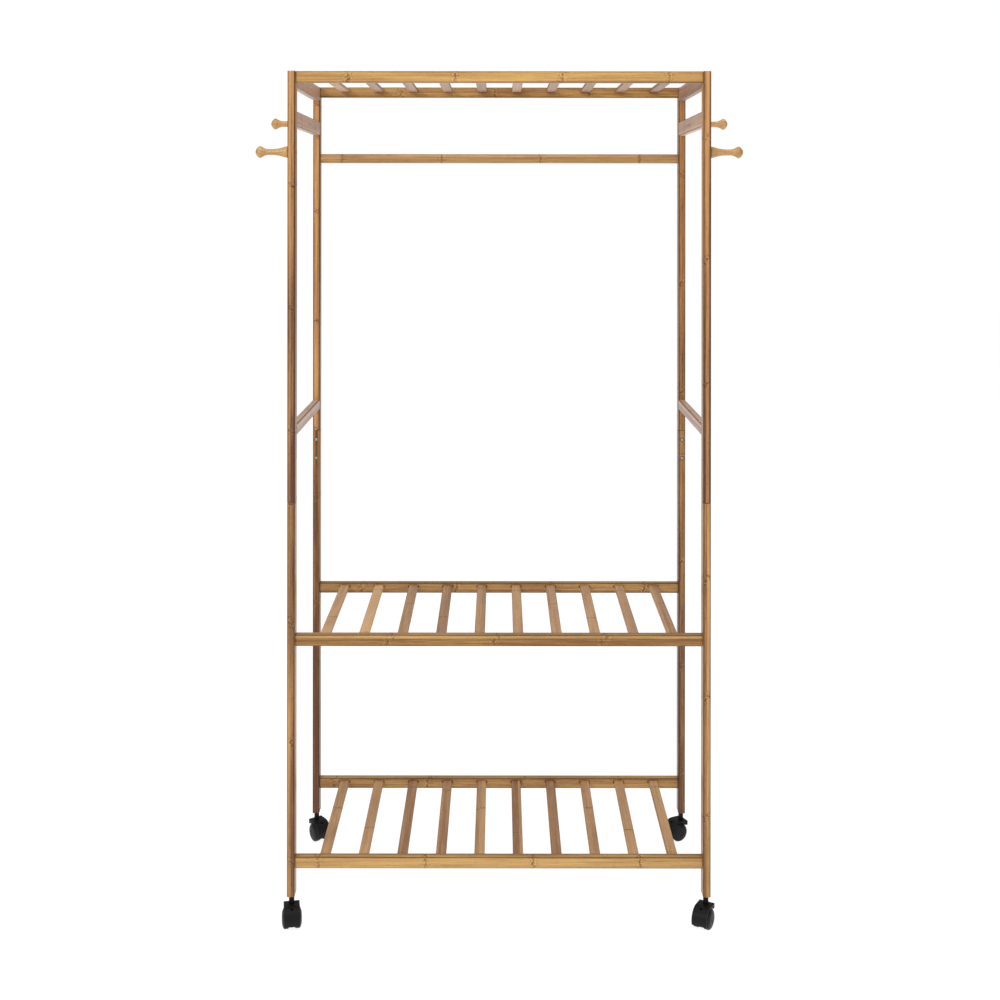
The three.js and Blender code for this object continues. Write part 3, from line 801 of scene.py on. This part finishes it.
def make_bolts():
    bolt, screw = socket_bolt(), cross_screw()
    for end_name, end in ENDS.items():
        for side_name, side in SIDES.items():
            name = f"{end_name}_{side_name}"
            for number in (1, 2):
                node = f"{name}_lap_bolt_{number}"
                low, high = box(node)
                seat = end * (INNER_Y + BOLT_SEAT - SEAM)
                spot = moved((low.x + high.x) / 2, seat, (low.z + high.z) / 2) @ pointing("y", end)
                fit(copy_of(bolt, f"{node}_steel", spot), ZINC, "root", [node],
                    BOLT_SMOOTH)
            heights = [sum(p.z for p in box(f"{shelf}_front_shelf_rail")) / 2
                       for shelf in SHELVES]
            if end_name == "back":
                heights.append((ROD_LOW.z + ROD_HIGH.z) / 2)
            for number, z in enumerate(heights):
                face = side * (INNER_X + POST_SIZE.x - BOLT_SUNK)
                spot = moved(face, end * POST_Y, z) @ pointing("x", -side)
                fit(copy_of(bolt, f"{name}_rail_bolt_{number + 1}", spot), ZINC,
                    smooth=BOLT_SMOOTH)
    for side_name, side in SIDES.items():
        for kind in ("front", "side"):
            node = f"{side_name}_{kind}_peg_screw"
            low, high = box(node)
            seat = side * (INNER_X + SCREW_SEAT - SEAM)
            spot = moved(seat, (low.y + high.y) / 2, (low.z + high.z) / 2) @ pointing("x", side)
            fit(copy_of(screw, f"{node}_steel", spot), SCREW_PAINTED_SHADE, "root", [node],
                BOLT_SMOOTH)
    bpy.data.objects.remove(bolt)
    bpy.data.objects.remove(screw)


# ---- Casters ----
# Each piece is made about the swivel axis, with the wheels trailing towards -Y, and is then
# turned to where it rests.
JOINTS = {joint["name"]: joint for joint in frame["joints"]}
SWIVEL_AT = Vector(JOINTS["front_left_swivel"]["pos_m"])
AXLE_AT = Vector(JOINTS["front_left_left_wheel_roll"]["pos_m"])
TRAIL = (AXLE_AT - SWIVEL_AT).to_2d().length
WHEEL_RADIUS = AXLE_AT.z
HOOD_TOP = box("front_left_caster_hood")[1].z
POST_FOOT = box("front_left_lower_post")[0].z
HOOD_HALF = 15.2 * MM
HOOD_INNER = WHEEL_RADIUS + 1.3 * MM
HOOD_OUTER = WHEEL_RADIUS + 3.6 * MM
HOOD_LEAD = 8 * MM  # in front of the swivel axis
LEAD_DROP = 9 * MM
PIN_BOTTOM = HOOD_TOP - 18.5 * MM
HOOD_EDGE = 0.7 * MM
HOOD_LOWEST = math.radians(112)  # round the axle from the top to the lower edge of the fender
WEB_HALF = 5.6 * MM
WEB_INSET = 0.9 * MM  # inside the outline of the hood
HOOD_DROP = 11 * MM  # from the axle to where the two slopes below the hood meet
AXLE_RADIUS = 3 * MM
AXLE_PLAY = 0.5 * MM
PIN_RADIUS = 3.5 * MM
HOOD_SLOT = 2.6 * MM  # half of the slot's width
SLOT_LEAN = math.radians(29)
BEYOND = 5 * MM  # how far a tool reaches past the hood
WHEEL_BORE = (5 * MM, 16.5 * MM)  # from the middle of the caster
WHEEL_PROFILE = [  # radius and distance from the middle of the caster, in millimetres
    (16.4, 6.1), (18.3, 6.3), (19, 7.0), (19, 13.7), (18.85, 14.5), (18.3, 15.3), (17.3, 16.1),
    (16.0, 16.8), (14.5, 17.4), (14.2, 17.1), (13.4, 17.3), (13.1, 17.9), (11.5, 18.35),
    (8.6, 18.75), (6.2, 18.8), (6.0, 18.3), (4.2, 18.3), (4.0, 18.7), (1.5, 18.8),
]


def drum(name, radius, low, high, soft=0.0):
    """A round bar along X about the axle."""
    piece = turned(name, [(radius, low), (radius, high)], 72, soft)
    return place(piece, moved(0, -TRAIL, WHEEL_RADIUS) @ pointing("x"))


def cut_below(form, first, last):
    """Cuts off what lies below the line through two points, seen along X."""
    slope = math.atan2(last.z - first.z, last.y - first.y)
    reach = 60 * MM
    block = start_block("slope", (-reach, -reach, -reach), (reach, reach, 0))
    round_edges(along("x"), 0.2 * MM, 1)
    place(close(block, 0), Matrix.Translation(first) @ Matrix.Rotation(slope, 4, "X"))
    cut(form, block)


def hood_form(name, half, outer, top, lead):
    """A drum round the axle with a flat top in front of it, cut off below along two slopes."""
    form = drum(name, outer, -half, half, HOOD_EDGE)
    front = start_block("front", (-half, -TRAIL, 0), (half, lead, top))

    def at_nose(edge):
        spot = edge.verts[0].co
        return along("x")(edge) and spot.z > WHEEL_RADIUS and spot.y > 0
    round_edges(at_nose, 1.5 * MM)
    cut(form, close(front, HOOD_EDGE), "UNION")
    lowest = Vector((0, -TRAIL, WHEEL_RADIUS - HOOD_DROP))
    back = Vector((0, -TRAIL - outer * math.sin(HOOD_LOWEST),
                   WHEEL_RADIUS + outer * math.cos(HOOD_LOWEST)))
    cut_below(form, back, lowest)
    cut_below(form, lowest, Vector((0, lead, PIN_BOTTOM - 2 * MM)))
    return form


def caster_hood():
    """The fender and its flat top, with the web that holds the axle in between."""
    hood = hood_form("hood", HOOD_HALF, HOOD_OUTER, HOOD_TOP, HOOD_LEAD)
    past = HOOD_HALF + BEYOND
    cut(hood, drum("well", HOOD_INNER, -past, past))
    below = start_block("below", (-past, 0, -BEYOND),
                        (past, HOOD_LEAD + BEYOND, HOOD_TOP - LEAD_DROP))
    round_edges(along("x"), 0.3 * MM, 1)
    cut(hood, close(below, 0))
    cut(hood, hood_form("web", WEB_HALF, HOOD_OUTER - WEB_INSET, HOOD_TOP - WEB_INSET,
                        HOOD_LEAD - WEB_INSET), "UNION")
    hole = PIN_RADIUS + SEAM
    cut(hood, place(turned("pin_hole", [(hole, 0), (hole, HOOD_TOP)]),
                    moved(0, 0, PIN_BOTTOM - SEAM)))
    cut(hood, drum("axle_hole", AXLE_RADIUS + SEAM, -HOOD_HALF, HOOD_HALF))
    slot = start_block("slot", (-HOOD_SLOT, -HOOD_SLOT, HOOD_INNER - 1 * MM),
                       (HOOD_SLOT, HOOD_SLOT, HOOD_OUTER + 4 * MM))
    round_edges(along("z"), 0.6 * MM, 3)
    place(close(slot, 0), moved(0, -TRAIL, WHEEL_RADIUS) @ Matrix.Rotation(SLOT_LEAN, 4, "X"))
    return cut(hood, slot)


def caster_wheel():
    wheel = turned("wheel", [(radius * MM, reach * MM) for radius, reach in WHEEL_PROFILE], 72)
    bore = turned("bore", [(AXLE_RADIUS + AXLE_PLAY, reach) for reach in WHEEL_BORE], 24)
    return cut(wheel, bore)


def caster_stem():
    """A pin in the hood, a collar with a rib round each end, and the thread into the post."""
    gap = HOOD_TOP + SEAM
    top = POST_FOOT - SEAM
    pin, collar, rib, thread = PIN_RADIUS, 5.2 * MM, 5.5 * MM, 4 * MM
    return turned("stem", [
        (pin, PIN_BOTTOM), (pin, gap), (rib, gap), (rib, gap + 2.2 * MM),
        (collar, gap + 2.8 * MM), (collar, top - 2.8 * MM), (rib, top - 2.2 * MM), (rib, top),
        (thread, top), (thread, top + 28 * MM), (thread - 1 * MM, top + 29 * MM),
    ], 40)


def make_casters():
    hood, wheel, stem = caster_hood(), caster_wheel(), caster_stem()
    axle_spot = moved(0, -TRAIL, WHEEL_RADIUS)
    for end_name, end in ENDS.items():
        for side_name, side in SIDES.items():
            name = f"{end_name}_{side_name}"
            axle = JOINTS[f"{name}_left_wheel_roll"]["axis"]
            under = moved(side * POST_X, end * POST_Y, 0)
            rests = under @ Matrix.Rotation(math.atan2(axle[1], axle[0]), 4, "Z")
            fit(copy_of(stem, f"{name}_caster_stem_steel", under),
                BLACK_STEEL, "root", [f"{name}_caster_stem"])
            fit(copy_of(hood, f"{name}_caster_hood_nylon", rests),
                NYLON, f"{name}_swivel", [f"{name}_caster_hood"])
            for wheel_side, way in SIDES.items():
                node = f"{name}_caster_{wheel_side}_wheel"
                fit(copy_of(wheel, f"{node}_plastic", rests @ axle_spot @ pointing("x", way)),
                    WHEEL_BLACK, f"{name}_{wheel_side}_wheel", [node], 30)
            steel_bar = frame["nodes"][f"{name}_caster_axle"]
            steel_bar.data.materials.clear()
            steel_bar.data.materials.append(ZINC)
    for model in (hood, wheel, stem):
        bpy.data.objects.remove(model)


# ---- Studio ----
def make_floor():
    bpy.ops.object.select_all(action="DESELECT")
    bpy.ops.mesh.primitive_plane_add(size=24, location=(0, 4, 0))
    floor = start("floor")
    bpy.ops.mesh.select_all(action="SELECT")
    bpy.ops.mesh.subdivide(number_cuts=2)
    bpy.ops.object.mode_set(mode="OBJECT")
    material, n, shader = new_material("pale_floor")
    spots = n.noise(n.add("ShaderNodeTexCoord").outputs["Object"], (1, 1, 1))
    n.feed(shader.inputs["Base Color"], n.mix(spots, linear(150, 150, 150), linear(140, 140, 139)))
    shader.inputs["Roughness"].default_value = 0.9
    shader.inputs["Specular IOR Level"].default_value = 0.1
    shader.inputs["Emission Color"].default_value = (1, 1, 1, 1)
    shader.inputs["Emission Strength"].default_value = FLOOR_GLOW
    floor.data.materials.append(material)


def make_world():
    """A white room with dark flags at its two sides, and plain white behind the rack."""
    world = bpy.data.worlds.new("studio")
    world.use_nodes = True
    n = Nodes(world.node_tree)
    way = n.add("ShaderNodeTexCoord").outputs["Generated"]
    sideways = n.math("ABSOLUTE", n.add("ShaderNodeSeparateXYZ", {0: way}).outputs[0])
    room = n.step(sideways, *FLAG_EDGES, ROOM_LIGHT, FLAG_LIGHT)
    seen = n.add("ShaderNodeLightPath").outputs["Is Camera Ray"]
    strength = n.add("ShaderNodeMix", {0: seen, 2: room, 3: BEHIND_LIGHT}, data_type="FLOAT")
    background = world.node_tree.nodes["Background"].inputs
    n.feed(background["Color"], (1, 1, 1, 1))
    n.feed(background["Strength"], strength.outputs[0])
    bpy.context.scene.world = world


def area_light(name, stands, aim, size, power):
    data = bpy.data.lights.new(name, "AREA")
    data.shape = "RECTANGLE"
    data.size, data.size_y = size
    data.energy = power
    light = bpy.data.objects.new(name, data)
    bpy.context.scene.collection.objects.link(light)
    turn = (Vector(stands) - Vector(aim)).to_track_quat("Z", "Y")
    light.matrix_world = moved(*stands) @ turn.to_matrix().to_4x4()


def make_camera():
    data = bpy.data.cameras.new("camera")
    data.lens = LENS
    data.sensor_width = SENSOR
    data.shift_x, data.shift_y = SHIFT_X, SHIFT_Y
    data.dof.use_dof = False
    camera = bpy.data.objects.new("camera", data)
    bpy.context.scene.collection.objects.link(camera)
    front = MIDDLE.y - INNER_Y - POST_SIZE.y
    roll = Matrix.Rotation(math.radians(CAMERA_ROLL), 4, "Z")
    camera.matrix_world = (moved(0, front - CAMERA_DISTANCE, CAMERA_HEIGHT)
                           @ Matrix.Rotation(math.radians(90), 4, "X") @ roll)
    bpy.context.scene.camera = camera


def make_studio():
    make_floor()
    make_world()
    for name, light in LIGHTS.items():
        area_light(name, *light)
    make_camera()
    bpy.context.scene.view_settings.view_transform = "Standard"
    bpy.context.scene.view_settings.look = "None"


make_posts()
make_side_rails()
make_shelves()
make_rod()
make_pegs()
make_bolts()
make_casters()
make_studio()
